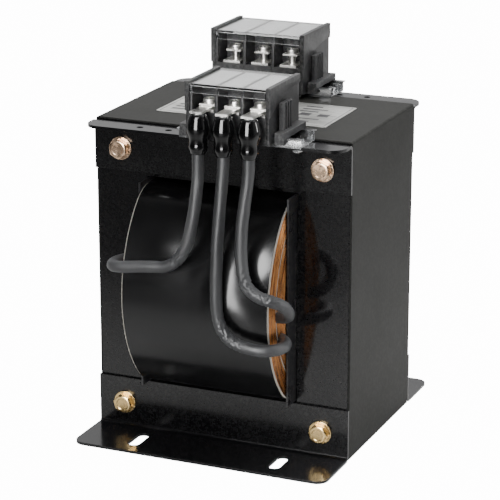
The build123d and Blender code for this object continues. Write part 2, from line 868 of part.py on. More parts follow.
# Routes of the leads from their lugs into the coil's ends, chosen by hand. Each tube ends
# a few millimetres inside the windings that it is joined to.
lead_routes = {
    "left_lead": [
        (lug_points[0], lead_y, barrel_end),
        (lug_points[0], lead_y, 226.5),
        (4.2, -117.8, 206.0),
        (1.6, -120.2, 186.0),
        (-3.0, -121.4, 165.0),
        (-15.5, -121.6, 151.5),
        (-31.5, -121.4, 150.2),
        (-46.5, -121.0, 148.2),
        (-58.5, -121.0, 146.6),
        (-66.0, -114.5, 145.5),
        (-66.5, -103.0, 145.0),
        (-62.0, -95.5, 145.2),
        (-54.5, -92.0, 145.0),
    ],
    "middle_lead": [
        (lug_points[1], lead_y, barrel_end),
        (lug_points[1], lead_y, 226.5),
        (22.8, -118.5, 204.5),
        (21.8, -120.8, 182.0),
        (21.2, -122.2, 158.0),
        (20.8, -122.8, 136.0),
        (22.2, -123.0, 116.5),
        (30.0, -123.0, 103.5),
        (42.5, -123.2, 99.6),
        (56.0, -122.6, 98.2),
        (64.5, -116.0, 98.0),
        (67.2, -104.5, 97.5),
        (62.5, -92.6, 97.0),
        (53.8, -86.5, 96.8),
    ],
    "right_lead": [
        (lug_points[2], lead_y, barrel_end),
        (lug_points[2], lead_y, 226.5),
        (41.4, -118.6, 205.0),
        (39.8, -120.8, 184.0),
        (40.0, -122.0, 163.0),
        (43.6, -122.6, 145.5),
        (52.5, -122.8, 138.5),
        (62.0, -121.0, 136.0),
        (69.0, -112.5, 131.0),
        (70.0, -103.0, 121.5),
        (63.5, -96.5, 116.0),
        (54.0, -94.5, 115.5),
    ],
}


def bend_radii(points):
    """The largest arc that each corner's shorter run allows."""
    radii = []
    for before, corner, after in zip(points, points[1:], points[2:]):
        run_in = Vector(*corner) - Vector(*before)
        run_out = Vector(*after) - Vector(*corner)
        turn = radians(run_in.get_angle(run_out))
        radii.append(0.45 * min(run_in.length, run_out.length) / tan(turn / 2))
    return radii


for name, points in lead_routes.items():
    radii = bend_radii(points)
    with BuildPart() as tube:
        with BuildLine() as route:
            FilletPolyline(*points, radius=radii)
        with BuildSketch(Plane(origin=route.line @ 0, z_dir=route.line % 0)):
            Circle(lead / 2)
        sweep(path=route.line)
    save(tube, name)
    length = sum(edge.length for edge in route.edges())
    fill = tube.part.volume / (length * lead**2 * pi / 4)
    print(name, "length", round(length, 1), "volume ratio", round(fill, 4))
    print("  radii", [round(radius, 1) for radius in radii])
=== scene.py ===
# %% [markdown]
# # A dry-type autotransformer, dressed around its frame
#
# A stack of varnished core laminations stands on two folded feet. A coil lies across its
# middle, a folded cover goes over the top, and two terminal blocks sit on rails above it.
# The frame below holds every solid part at its real place, in metres, so this lesson only
# gives the parts their finishes and adds the detail that solids leave out.

# %% Load the frame
from math import cos, exp, pi, radians, sin, tanh, tau

import bmesh
import bpy
from mathutils import Matrix, Vector, noise
from mathutils.bvhtree import BVHTree


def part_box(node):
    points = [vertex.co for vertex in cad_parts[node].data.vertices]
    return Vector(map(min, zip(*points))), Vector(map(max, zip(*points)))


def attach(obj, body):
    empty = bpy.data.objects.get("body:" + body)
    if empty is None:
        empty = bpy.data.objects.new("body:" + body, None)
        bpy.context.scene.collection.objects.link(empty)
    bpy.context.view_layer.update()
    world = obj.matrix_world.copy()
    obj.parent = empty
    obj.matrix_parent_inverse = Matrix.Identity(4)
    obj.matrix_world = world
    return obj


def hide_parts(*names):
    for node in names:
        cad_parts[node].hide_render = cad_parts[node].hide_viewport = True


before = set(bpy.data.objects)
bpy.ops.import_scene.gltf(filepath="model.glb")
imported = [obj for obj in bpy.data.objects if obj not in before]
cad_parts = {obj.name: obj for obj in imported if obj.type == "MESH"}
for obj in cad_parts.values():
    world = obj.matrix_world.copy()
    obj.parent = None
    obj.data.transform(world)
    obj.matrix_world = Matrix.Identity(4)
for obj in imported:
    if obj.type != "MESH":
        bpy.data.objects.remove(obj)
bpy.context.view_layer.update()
MM = 0.001

# %% [markdown]
# ## Camera
#
# A product shot is taken from far away with a long lens, so that upright edges stay almost
# upright. The camera stands to the right of the front and above the top, and looks down
# close to the middle of the object.

# %% Camera
camera_data = bpy.data.cameras.new("camera")
camera_data.lens = 157.8
camera_data.sensor_width = 36.0
camera_data.clip_end = 50.0
camera = bpy.data.objects.new("camera", camera_data)
bpy.context.scene.collection.objects.link(camera)
camera.location = (0.62774, -1.46981, 0.62307)
camera_aim = Vector((-0.0055, 0.0, 0.1316))
camera.rotation_euler = (camera_aim - camera.location).to_track_quat("-Z", "Y").to_euler()
bpy.context.scene.camera = camera
print("camera distance:", round((camera_aim - camera.location).length, 3))

# %% [markdown]
# ## Tap leads
#
# Three thick leads come straight down out of their boots, lean on the coil and turn in
# behind its ends. Each one follows a smooth NURBS curve whose control points are the solid
# lead's own route. A bevelled curve would be perfectly round, but sleeving flattens and
# crumples where it is bent sharply, so the tube is a mesh with rings along that curve, and
# the rings shrink and ripple near each kink.

# %% Tap leads
front_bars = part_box("front_block_bars")
lug_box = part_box("lead_lugs")
lead_diameter = 9.0 * MM
barrel_radius = 4.2
barrel_end = lug_box[0][2] / MM
lead_y = (lug_box[0][1] + barrel_radius * MM) / MM
lug_pitch = 19.5
middle_lug = (front_bars[0][0] + front_bars[1][0]) / 2 / MM
lug_x = [middle_lug - lug_pitch, middle_lug, middle_lug + lug_pitch]
lead_routes = {
    "left_lead": [
        (lug_x[0], lead_y, barrel_end),
        (lug_x[0], lead_y, 226.5),
        (4.2, -117.8, 206.0),
        (1.6, -120.2, 186.0),
        (-3.0, -121.4, 165.0),
        (-15.5, -121.6, 151.5),
        (-31.5, -121.4, 150.2),
        (-46.5, -121.0, 148.2),
        (-58.5, -121.0, 146.6),
        (-66.0, -114.5, 145.5),
        (-66.5, -103.0, 145.0),
        (-62.0, -95.5, 145.2),
        (-54.5, -92.0, 145.0),
    ],
    "middle_lead": [
        (lug_x[1], lead_y, barrel_end),
        (lug_x[1], lead_y, 226.5),
        (22.8, -118.5, 204.5),
        (21.8, -120.8, 182.0),
        (21.2, -122.2, 158.0),
        (20.8, -122.8, 136.0),
        (22.2, -123.0, 116.5),
        (30.0, -123.0, 103.5),
        (42.5, -123.2, 99.6),
        (56.0, -122.6, 98.2),
        (64.5, -116.0, 98.0),
        (67.2, -104.5, 97.5),
        (62.5, -92.6, 97.0),
        (53.8, -86.5, 96.8),
    ],
    "right_lead": [
        (lug_x[2], lead_y, barrel_end),
        (lug_x[2], lead_y, 226.5),
        (41.4, -118.6, 205.0),
        (39.8, -120.8, 184.0),
        (40.0, -122.0, 163.0),
        (43.6, -122.6, 145.5),
        (52.5, -122.8, 138.5),
        (62.0, -121.0, 136.0),
        (69.0, -112.5, 131.0),
        (70.0, -103.0, 121.5),
        (63.5, -96.5, 116.0),
        (54.0, -94.5, 115.5),
    ],
}


def spline_points(name, route):
    """Points along the smooth NURBS curve that follows a route, in metres."""
    data = bpy.data.curves.new(name + "_line", "CURVE")
    data.dimensions = "3D"
    spline = data.splines.new("NURBS")
    spline.points.add(len(route) - 1)
    for point, place in zip(spline.points, route):
        point.co = (*(c * MM for c in place), 1.0)
    spline.order_u = 3
    spline.use_endpoint_u = True
    spline.resolution_u = 12
    line = bpy.data.objects.new(name + "_line", data)
    mesh = bpy.data.meshes.new_from_object(line)
    points = [vertex.co.copy() for vertex in mesh.vertices]
    bpy.data.objects.remove(line)
    return points


def crumple(point, kinks):
    """How crumpled the sleeve is at a point, from 0 to 1."""
    distances = [(point - Vector(kink) * MM).length / kink_reach for kink in kinks]
    return max(exp(-(distance ** 2)) for distance in distances)


lead_kinks = {
    "left_lead": [(-6.0, -121.4, 158.0)],
    "middle_lead": [(24.0, -123.0, 110.0), (33.0, -123.0, 102.5)],
    "right_lead": [(43.6, -122.6, 145.5), (62.0, -121.0, 136.0)],
}
kink_reach = 9 * MM
deepest_crease, highest_ridge = -0.14, 0.10
sides = 40
leads = {}
for number, (node, route) in enumerate(lead_routes.items()):
    line = spline_points(node, route)
    across = Vector((1.0, 0.0, 0.0))
    corners = []
    for i, point in enumerate(line):
        ahead = (line[min(i + 1, len(line) - 1)] - line[max(i - 1, 0)]).normalized()
        across = (across - ahead * across.dot(ahead)).normalized()
        beside = ahead.cross(across)
        fold = crumple(point, lead_kinks[node])
        for k in range(sides):
            turn = tau * k / sides
            ripple = noise.noise((number * 7 + 2.2 * cos(turn), 2.2 * sin(turn), i * 0.55))
            sag = 0.06 * noise.noise((cos(turn), sin(turn), i * 0.12 + number))
            flattened = 0.98 + sag - fold * 0.05
            creased = fold * 0.9 * max(deepest_crease, min(ripple, highest_ridge))
            reach = lead_diameter / 2 * (flattened + creased)
            corners.append(point + (across * cos(turn) + beside * sin(turn)) * reach)
    faces = [
        (i * sides + k, i * sides + (k + 1) % sides, (i + 1) * sides + (k + 1) % sides, (i + 1) * sides + k)
        for i in range(len(line) - 1)
        for k in range(sides)
    ]
    faces.append(tuple(reversed(range(sides))))
    faces.append(tuple(range(len(corners) - sides, len(corners))))
    mesh = bpy.data.meshes.new(node + "_sleeve")
    mesh.from_pydata(corners, [], faces)
    mesh.shade_smooth()
    lead = bpy.data.objects.new(node + "_sleeve", mesh)
    bpy.context.scene.collection.objects.link(lead)
    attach(lead, "frame")
    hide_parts(node)
    leads[node] = lead
print("leads:", {name: len(route) for name, route in lead_routes.items()})

# %% [markdown]
# ## Node helpers
#
# Every finish is a Principled shader with small maps in front of it: fine grain for the bump,
# broad mottling for the colour and gloss, worn edges and settled dust. Each of those four
# effects is a node group that is built once and placed in each material with its own values.

# %% Node helpers
def new_group(name, inputs, outputs):
    """A shader node group with named inputs and outputs, and its two end nodes."""
    group = bpy.data.node_groups.new(name, "ShaderNodeTree")
    for label, kind, value in inputs:
        socket = group.interface.new_socket(label, in_out="INPUT", socket_type=kind)
        if value is not None:
            socket.default_value = value
    for label in outputs:
        group.interface.new_socket(label, in_out="OUTPUT", socket_type="NodeSocketFloat")
    return group, group.nodes.new("NodeGroupInput"), group.nodes.new("NodeGroupOutput")


def connect(tree, value, socket):
    """Join a socket or set a number on another socket."""
    if isinstance(value, bpy.types.NodeSocket):
        tree.links.new(value, socket)
    else:
        socket.default_value = value


def math_node(tree, operation, *values):
    """The result of one sum on sockets or numbers."""
    node = tree.nodes.new("ShaderNodeMath")
    node.operation = operation
    for socket, value in zip(node.inputs, values):
        connect(tree, value, socket)
    return node.outputs[0]


def mask_range(tree, value, low, high, to_low=0.0, to_high=1.0):
    """Stretch the part of a value between low and high over a new range."""
    node = tree.nodes.new("ShaderNodeMapRange")
    for socket, number in zip(node.inputs, (value, low, high, to_low, to_high)):
        connect(tree, number, socket)
    return node.outputs[0]


def noise_node(tree, vector, scale, detail=2.0, rough=0.5):
    """A noise texture's value."""
    node = tree.nodes.new("ShaderNodeTexNoise")
    connect(tree, vector, node.inputs["Vector"])
    connect(tree, scale, node.inputs["Scale"])
    node.inputs["Detail"].default_value = detail
    node.inputs["Roughness"].default_value = rough
    return node.outputs["Fac"]


def mix_colour(tree, factor, first, second):
    """A colour between two colours."""
    node = tree.nodes.new("ShaderNodeMix")
    node.data_type = "RGBA"
    connect(tree, factor, node.inputs["Factor"])
    for socket, value in ((node.inputs["A"], first), (node.inputs["B"], second)):
        connect(tree, (*value, 1.0) if isinstance(value, tuple) else value, socket)
    return node.outputs["Result"]


print("node helpers ready")

# %% [markdown]
# ## Shared effects
#
# Fine grain and mottling are plain noise at two scales. Wear needs to know where the edges
# are, which the geometry's pointiness says, and dust needs to know what faces up, which is
# the height of the surface's normal. Each is broken up by noise, so that neither is even.

# %% Shared effects
grain_group, ends_in, ends_out = new_group(
    "fine_grain",
    [("Vector", "NodeSocketVector", None), ("Scale", "NodeSocketFloat", 900.0)],
    ["Height"],
)
fine = noise_node(grain_group, ends_in.outputs["Vector"], ends_in.outputs["Scale"], 3.0, 0.55)
grain_group.links.new(fine, ends_out.inputs["Height"])

mottle_group, ends_in, ends_out = new_group(
    "mottle",
    [("Vector", "NodeSocketVector", None), ("Scale", "NodeSocketFloat", 40.0)],
    ["Mask"],
)
broad = noise_node(mottle_group, ends_in.outputs["Vector"], ends_in.outputs["Scale"], 4.0, 0.6)
mottle_group.links.new(mask_range(mottle_group, broad, 0.33, 0.67), ends_out.inputs["Mask"])

wear_group, ends_in, ends_out = new_group(
    "edge_wear",
    [("Vector", "NodeSocketVector", None), ("Amount", "NodeSocketFloat", 0.5)],
    ["Mask"],
)
shape = wear_group.nodes.new("ShaderNodeNewGeometry")
edges = mask_range(wear_group, shape.outputs["Pointiness"], 0.52, 0.60)
chips = mask_range(wear_group, noise_node(wear_group, ends_in.outputs["Vector"], 350.0, 4.0, 0.7), 0.45, 0.6)
worn = math_node(wear_group, "MULTIPLY", edges, chips)
worn = math_node(wear_group, "MULTIPLY", worn, ends_in.outputs["Amount"])
wear_group.links.new(worn, ends_out.inputs["Mask"])

dust_group, ends_in, ends_out = new_group(
    "settled_dust",
    [("Vector", "NodeSocketVector", None), ("Amount", "NodeSocketFloat", 0.2)],
    ["Mask"],
)
shape = dust_group.nodes.new("ShaderNodeNewGeometry")
upright = dust_group.nodes.new("ShaderNodeSeparateXYZ")
dust_group.links.new(shape.outputs["Normal"], upright.inputs[0])
facing_up = mask_range(dust_group, upright.outputs["Z"], 0.2, 1.0)
cloud = mask_range(dust_group, noise_node(dust_group, ends_in.outputs["Vector"], 55.0, 5.0, 0.65), 0.4, 0.7)
dusty = math_node(dust_group, "MULTIPLY", facing_up, cloud)
dusty = math_node(dust_group, "MULTIPLY", dusty, ends_in.outputs["Amount"])
dust_group.links.new(dusty, ends_out.inputs["Mask"])
print("shared effects:", [g.name for g in (grain_group, mottle_group, wear_group, dust_group)])

# %% [markdown]
# ## Finishes
#
# One function lays the maps out in the same order for every material: two tones mixed by the
# mottling, bare metal or a lighter tone where edges wear, dust on what faces up, gloss that
# varies with the same mottling, and grain for the bump. Stretching the coordinates turns the
# round grain into the streaks of drawn sleeving or brushed sheet.

# %% Finishes
def effect(tree, group, output, vector, **values):
    """Place a shared effect and return one of its outputs."""
    node = tree.nodes.new("ShaderNodeGroup")
    node.node_tree = group
    connect(tree, vector, node.inputs["Vector"])
    for label, value in values.items():
        node.inputs[label].default_value = value
    return node.outputs[output]


def finish(
    name, tone, second_tone, gloss, spread=0.05, grain=900.0, depth=0.02, mottle=40.0,
    metallic=0.0, worn_tone=(0.4, 0.4, 0.4), wear=0.0, dust=0.0, coat=0.0, stretch=(1, 1, 1), specular=0.5,
):
    """A material; gloss is its middle roughness and depth its grain's height in millimetres."""
    material = bpy.data.materials.new(name)
    material.use_nodes = True
    tree = material.node_tree
    shader = tree.nodes["Principled BSDF"]
    shader.inputs["Metallic"].default_value = metallic
    shader.inputs["Coat Weight"].default_value = coat
    shader.inputs["Coat Roughness"].default_value = 0.06
    shader.inputs["Specular IOR Level"].default_value = specular
    place = tree.nodes.new("ShaderNodeTexCoord")
    stretched = tree.nodes.new("ShaderNodeMapping")
    stretched.inputs["Scale"].default_value = stretch
    tree.links.new(place.outputs["Object"], stretched.inputs["Vector"])
    vector = stretched.outputs[0]
    patches = effect(tree, mottle_group, "Mask", vector, Scale=mottle)
    colour = mix_colour(tree, patches, tone, second_tone)
    roughness = mask_range(tree, patches, 0.0, 1.0, gloss - spread, gloss + spread)
    if wear:
        bare = effect(tree, wear_group, "Mask", vector, Amount=wear)
        colour = mix_colour(tree, bare, colour, worn_tone)
    if dust:
        film = effect(tree, dust_group, "Mask", vector, Amount=dust)
        colour = mix_colour(tree, film, colour, (0.42, 0.41, 0.38))
        roughness = math_node(tree, "ADD", roughness, film)
    height = effect(tree, grain_group, "Height", vector, Scale=grain)
    bump = tree.nodes.new("ShaderNodeBump")
    bump.inputs["Distance"].default_value = depth * MM
    tree.links.new(height, bump.inputs["Height"])
    tree.links.new(colour, shader.inputs["Base Color"])
    tree.links.new(roughness, shader.inputs["Roughness"])
    tree.links.new(bump.outputs[0], shader.inputs["Normal"])
    return material


bracket_enamel = finish(
    "bracket_enamel", (0.009, 0.009, 0.011), (0.011, 0.011, 0.013), 0.16, 0.02, grain=260, depth=0.004,
    mottle=18, worn_tone=(0.16, 0.16, 0.15), wear=0.3,
)
cover_coat = finish(
    "cover_coat", (0.015, 0.015, 0.013), (0.018, 0.018, 0.016), 0.50, 0.03, grain=2600, depth=0.02,
    mottle=12, worn_tone=(0.12, 0.12, 0.11), wear=0.15, dust=0.01, specular=0.14,
)
core_varnish = finish(
    "core_varnish", (0.010, 0.010, 0.012), (0.013, 0.013, 0.015), 0.09, 0.03, grain=120, depth=0.01,
    mottle=26, worn_tone=(0.10, 0.09, 0.08), wear=0.3,
)
wrap_film = finish(
    "wrap_film", (0.010, 0.010, 0.011), (0.014, 0.014, 0.015), 0.20, 0.04, grain=60, depth=0.05, mottle=14,
)
insulating_paper = finish(
    "insulating_paper", (0.72, 0.66, 0.56), (0.80, 0.76, 0.68), 0.7, 0.08, grain=1400, depth=0.04, mottle=90,
)
press_board = finish(
    "press_board", (0.016, 0.016, 0.020), (0.026, 0.026, 0.031), 0.34, 0.08, grain=700, depth=0.03,
    mottle=60, worn_tone=(0.20, 0.18, 0.15), wear=0.3,
)
copper = finish(
    "varnished_copper", (0.20, 0.065, 0.02), (0.62, 0.25, 0.07), 0.30, 0.10, grain=500, depth=0.05,
    mottle=330, metallic=0.8, worn_tone=(0.9, 0.55, 0.25), wear=0.3, coat=0.2,
)
bright_zinc = finish(
    "bright_zinc", (0.34, 0.35, 0.36), (0.50, 0.50, 0.50), 0.20, 0.08, grain=1500, depth=0.01,
    mottle=110, metallic=1.0, worn_tone=(0.85, 0.85, 0.85), wear=0.3,
)
nickel = finish(
    "bright_nickel", (0.80, 0.79, 0.76), (0.90, 0.88, 0.84), 0.33, 0.07, grain=1800, depth=0.008,
    mottle=160, metallic=1.0, worn_tone=(0.95, 0.93, 0.88), wear=0.3,
)
block_moulding = finish(
    "block_moulding", (0.016, 0.016, 0.018), (0.024, 0.024, 0.026), 0.38, 0.06, grain=2200, depth=0.02,
    mottle=80, worn_tone=(0.12, 0.12, 0.12), wear=0.6, dust=0.12,
)
end_moulding = finish(
    "end_moulding", (0.012, 0.012, 0.014), (0.018, 0.018, 0.020), 0.42, 0.06, grain=2200, depth=0.02,
    mottle=80, worn_tone=(0.16, 0.16, 0.16), wear=0.6, dust=0.12,
)
white_card = finish(
    "white_card", (0.98, 0.98, 0.97), (0.90, 0.90, 0.90), 0.6, 0.1, grain=1200, depth=0.02, mottle=120,
)
lead_sleeve = finish(
    "lead_sleeve", (0.068, 0.070, 0.075), (0.100, 0.103, 0.108), 0.50, 0.07, grain=1300, depth=0.12,
    mottle=55, stretch=(1, 1, 0.16),
)
boot_shrink = finish(
    "boot_shrink", (0.008, 0.008, 0.009), (0.012, 0.012, 0.013), 0.09, 0.03, grain=220, depth=0.03, mottle=50,
)
plate_silver = finish(
    "plate_silver", (0.50, 0.50, 0.48), (0.60, 0.60, 0.57), 0.36, 0.06, grain=1200, depth=0.01,
    mottle=45, metallic=0.8, worn_tone=(0.8, 0.8, 0.78), wear=0.4, dust=0.15, stretch=(0.12, 1, 1),
)
plate_ink = finish(
    "plate_ink", (0.035, 0.035, 0.038), (0.055, 0.055, 0.058), 0.5, 0.08, grain=1500, depth=0.01, mottle=120,
)
print("coats and metals:", [m.name for m in (bracket_enamel, cover_coat, core_varnish, bright_zinc, nickel)])
print("boards and papers:", [m.name for m in (press_board, insulating_paper, white_card)])
print("plastics:", [m.name for m in (wrap_film, block_moulding, end_moulding, lead_sleeve, boot_shrink)])
print("plate and wire:", [m.name for m in (plate_silver, plate_ink, copper)])

# %% [markdown]
# Three finishes need more than the common order. The passivated zinc of the clamping bolts
# drifts from pink at the top of the stack to gold at the bottom, as parts from two batches
# do.

# %% Passivated zinc
passivated_zinc = finish(
    "passivated_zinc", (0.62, 0.44, 0.30), (0.74, 0.52, 0.36), 0.24, 0.08, grain=1500, depth=0.01,
    mottle=190, metallic=1.0, worn_tone=(0.85, 0.78, 0.65), wear=0.4,
)
tree = passivated_zinc.node_tree
shader = tree.nodes["Principled BSDF"]
tones = shader.inputs["Base Color"].links[0].from_socket
place = tree.nodes.new("ShaderNodeTexCoord")
axes = tree.nodes.new("ShaderNodeSeparateXYZ")
tree.links.new(place.outputs["Object"], axes.inputs[0])
pink_above, gold_below = 0.18, 0.06
lower = mask_range(tree, axes.outputs["Z"], pink_above, gold_below)
golden = mix_colour(tree, 0.62, tones, (0.82, 0.60, 0.22))
tree.links.new(mix_colour(tree, lower, tones, golden), shader.inputs["Base Color"])
print("bolts' zinc is gold below", gold_below, "m")

# %% [markdown]
# Wound copper has its streaks along the wire, which runs round the coil. The copper's maps
# are therefore read by the distance from the coil's axis and the angle round it. The angle
# counts for little, so that each patch of noise is drawn out into a long streak.

# %% Streaks round the coil
tree = copper.node_tree
streak = 0.012
place = tree.nodes.new("ShaderNodeTexCoord")
axes = tree.nodes.new("ShaderNodeSeparateXYZ")
tree.links.new(place.outputs["Object"], axes.inputs[0])
core_bottom, core_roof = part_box("core_e_stack")
axis_height = (core_bottom.z + core_roof.z) / 2
rise = math_node(tree, "SUBTRACT", axes.outputs["Z"], axis_height)
flat_square = math_node(tree, "MULTIPLY", axes.outputs["Y"], axes.outputs["Y"])
from_axis = math_node(tree, "ADD", flat_square, math_node(tree, "MULTIPLY", rise, rise))
from_axis = math_node(tree, "SQRT", from_axis)
round_axis = math_node(tree, "MULTIPLY", math_node(tree, "ARCTAN2", rise, axes.outputs["Y"]), streak)
rewound = tree.nodes.new("ShaderNodeCombineXYZ")
for socket, value in zip(rewound.inputs, (axes.outputs["X"], from_axis, round_axis)):
    tree.links.new(value, socket)
for node in tree.nodes:
    if node.type == "MAPPING":
        tree.links.new(rewound.outputs[0], node.inputs["Vector"])
print("coil axis is", round(axis_height, 3), "m up")

# %% [markdown]
# The clear lids let light through and are left with a plain gloss.

# %% Clear plastic
clear_plastic = finish(
    "clear_plastic", (0.96, 0.97, 0.97), (0.99, 0.99, 0.99), 0.05, 0.02, grain=300, depth=0.01, mottle=30,
)
shader = clear_plastic.node_tree.nodes["Principled BSDF"]
shader.inputs["Transmission Weight"].default_value = 1.0
shader.inputs["IOR"].default_value = 1.49
print("lids' finish:", clear_plastic.name)

# %% [markdown]
# ## Rounded edges on folded sheet and mouldings
#
# Folded steel and moulded plastic never have a perfectly sharp edge, and the thin bright line
# along each edge is what makes them look real. The solid parts have sharp edges, so each one
# that shows is copied, cleaned of the triangles that the file format needs, and bevelled.

# %% Rounded edges
sharp_edge = radians(34)


def dress(piece, node, body="frame"):
    """Put a new piece in a solid part's place."""
    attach(piece, body)
    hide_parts(node)
    return piece


def settle(piece):
    """Turn a piece's modifiers into its mesh."""
    view = bpy.context.evaluated_depsgraph_get()
    final = bpy.data.meshes.new_from_object(piece.evaluated_get(view))
    piece.modifiers.clear()
    piece.data = final


def soften(node, material, width, body="frame"):
    """A copy of a solid part with rounded edges; width is the rounding in millimetres."""
    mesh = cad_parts[node].data.copy()
    work = bmesh.new()
    work.from_mesh(mesh)
    bmesh.ops.remove_doubles(work, verts=work.verts, dist=0.002 * MM)
    bmesh.ops.dissolve_limit(work, angle_limit=radians(0.4), verts=work.verts, edges=work.edges)
    work.to_mesh(mesh)
    work.free()
    mesh.materials.clear()
    mesh.materials.append(material)
    mesh.shade_smooth()
    mesh.set_sharp_from_angle(angle=sharp_edge)
    piece = bpy.data.objects.new(node + "_rounded", mesh)
    bpy.context.scene.collection.objects.link(piece)
    rounding = piece.modifiers.new("rounding", "BEVEL")
    rounding.width = width * MM
    rounding.segments = 2
    rounding.limit_method = "ANGLE"
    rounding.angle_limit = sharp_edge
    rounding.harden_normals = True
    settle(piece)
    return dress(piece, node, body)


softened = [
    ("front_foot_bracket", "bracket_paint", bracket_enamel, 0.5),
    ("rear_foot_bracket", "bracket_paint", bracket_enamel, 0.5),
    ("front_top_bracket", "bracket_paint", bracket_enamel, 0.5),
    ("rear_top_bracket", "bracket_paint", bracket_enamel, 0.5),
    ("cover_panel", "cover_paint", cover_coat, 0.45),
    ("core_e_stack", "core_varnish", core_varnish, 0.3),
    ("core_i_stack", "core_varnish", core_varnish, 0.3),
    ("front_rail", "bright_zinc", bright_zinc, 0.2),
    ("rear_rail", "bright_zinc", bright_zinc, 0.2),
    ("rail_screws", "bright_zinc", bright_zinc, 0.2),
    ("rail_spacers", "bright_zinc", bright_zinc, 0.2),
    ("rail_nuts", "bright_zinc", bright_zinc, 0.2),
    ("flat_washers", "yellow_zinc", passivated_zinc, 0.3),
    ("spring_washers", "yellow_zinc", passivated_zinc, 0.2),
    ("left_end_cheek", "press_board", press_board, 0.25),
    ("right_end_cheek", "press_board", press_board, 0.25),
    ("rating_plate", "plate_silver", plate_silver, 0.12),
    ("tight_clamping_washers", "nickel", nickel, 0.25),
    ("lead_lugs", "nickel", nickel, 0.25),
]
for side in ("front", "rear"):
    softened += [
        (f"{side}_block_poles", "block_moulding", block_moulding, 0.3),
        (f"{side}_block_end_plates", "block_moulding", block_moulding, 0.4),
        (f"{side}_block_end_clamps", "end_moulding", end_moulding, 0.35),
        (f"{side}_block_bars", "nickel", nickel, 0.2),
        (f"{side}_block_cards", "card_white", white_card, 0.1),
    ]
rounded = [soften(node, material, width) for node, slot, material, width in softened]
for side in ("front", "rear"):
    rounded.append(soften(f"{side}_block_cover", clear_plastic, 0.3, f"{side}_cover"))
    for number in (1, 2, 3):
        washer, screw = f"{side}_block_washer_{number}", f"{side}_block_screw_{number}"
        rounded.append(soften(washer, nickel, 0.25, f"{side}_washer_{number}"))
        rounded.append(soften(screw, nickel, 0.15, f"{side}_screw_{number}"))
rounded.append(soften("tight_terminal_screws", nickel, 0.15))
print("rounded pieces:", len(rounded))

# %% [markdown]
# ## Making shapes from rings
#
# Bolts, threads, boots and coil layers are all a row of closed rings joined one to the next.
# A thread is the same thing with a radius that rises and falls as it goes round and along.

# %% Making shapes from rings
def loft(rings, caps=True):
    """The corners and faces that join rings of equal length."""
    count = len(rings[0])
    corners = [tuple(point) for ring in rings for point in ring]
    faces = []
    for row in range(len(rings) - 1):
        here, above = row * count, (row + 1) * count
        for i in range(count):
            j = (i + 1) % count
            faces.append((here + i, here + j, above + j, above + i))
    if caps:
        faces.append(tuple(reversed(range(count))))
        faces.append(tuple(range(len(corners) - count, len(corners))))
    return corners, faces


def make_piece(name, shapes, material, sharp=34):
    """One mesh object from several lots of corners and faces."""
    corners, faces = [], []
    for more_corners, more_faces in shapes:
        offset = len(corners)
        corners += more_corners
        faces += [tuple(offset + i for i in face) for face in more_faces]
    mesh = bpy.data.meshes.new(name)
    mesh.from_pydata([tuple(c * MM for c in corner) for corner in corners], [], faces)
    work = bmesh.new()
    work.from_mesh(mesh)
    bmesh.ops.recalc_face_normals(work, faces=work.faces)
    work.to_mesh(mesh)
    work.free()
    mesh.materials.append(material)
    mesh.shade_smooth()
    mesh.set_sharp_from_angle(angle=radians(sharp))
    piece = bpy.data.objects.new(name, mesh)
    bpy.context.scene.collection.objects.link(piece)
    return piece


def moved(shape, matrix):
    """A shape's corners carried to a new place."""
    corners, faces = shape
    return [tuple(matrix @ Vector(corner)) for corner in corners], faces


def circle(radius, height, count=36):
    """A ring of points round the local Z axis."""
    return [(radius * cos(tau * i / count), radius * sin(tau * i / count), height) for i in range(count)]


print("ring helpers ready")

# %% [markdown]
# ## Clamping bolts
#
# A forged hexagon head is a hexagon cut by a 30 degree cone, which leaves a round flat on top
# and six curved shoulders. Where the cone meets each corner the head is lowest, so the height
# of the side's top edge comes from how far that point is from the axis.

# %% Hexagons
cone_slope = 0.577
chamfer_share = 0.93


def hexagon(width, angle):
    """How far a hexagon's edge is from its middle in one direction."""
    return width / 2 / cos((angle + pi / 6) % (pi / 3) - pi / 6)


def uneven_ring(radii, heights):
    """A closed ring whose radius and height change as it goes round."""
    angles = [tau * i / len(radii) for i in range(len(radii))]
    return [(r * cos(a), r * sin(a), h) for r, a, h in zip(radii, angles, heights)]


def hex_body(width, height, both_ends=False, count=72):
    """A hexagon head with its cone, or a nut that has a cone at each end."""
    flat = width / 2 * chamfer_share
    rims = [hexagon(width, tau * i / count) for i in range(count)]
    drop = [(rim - flat) * cone_slope for rim in rims]
    base_lift = drop if both_ends else [0.0] * count
    return loft([
        circle(flat, 0.0, count),
        uneven_ring([r - 0.15 for r in rims], base_lift),
        uneven_ring(rims, [b + 0.2 for b in base_lift]),
        uneven_ring(rims, [height - d - 0.12 for d in drop]),
        uneven_ring([r - 0.12 for r in rims], [height - d for d in drop]),
        circle(flat, height - 0.05, count),
        circle(flat - 0.35, height, count),
        circle(flat * 0.72, height, count),
        circle(flat * 0.66, height - 0.25, count),
    ])


print("a 13 mm hexagon is", round(2 * hexagon(13.0, pi / 6), 2), "mm across its corners")

# %% [markdown]
# A thread is a groove that climbs by one pitch in each turn. Each ring's points stand at a
# depth that depends on both their height and their angle, and the groove runs out at the tip.

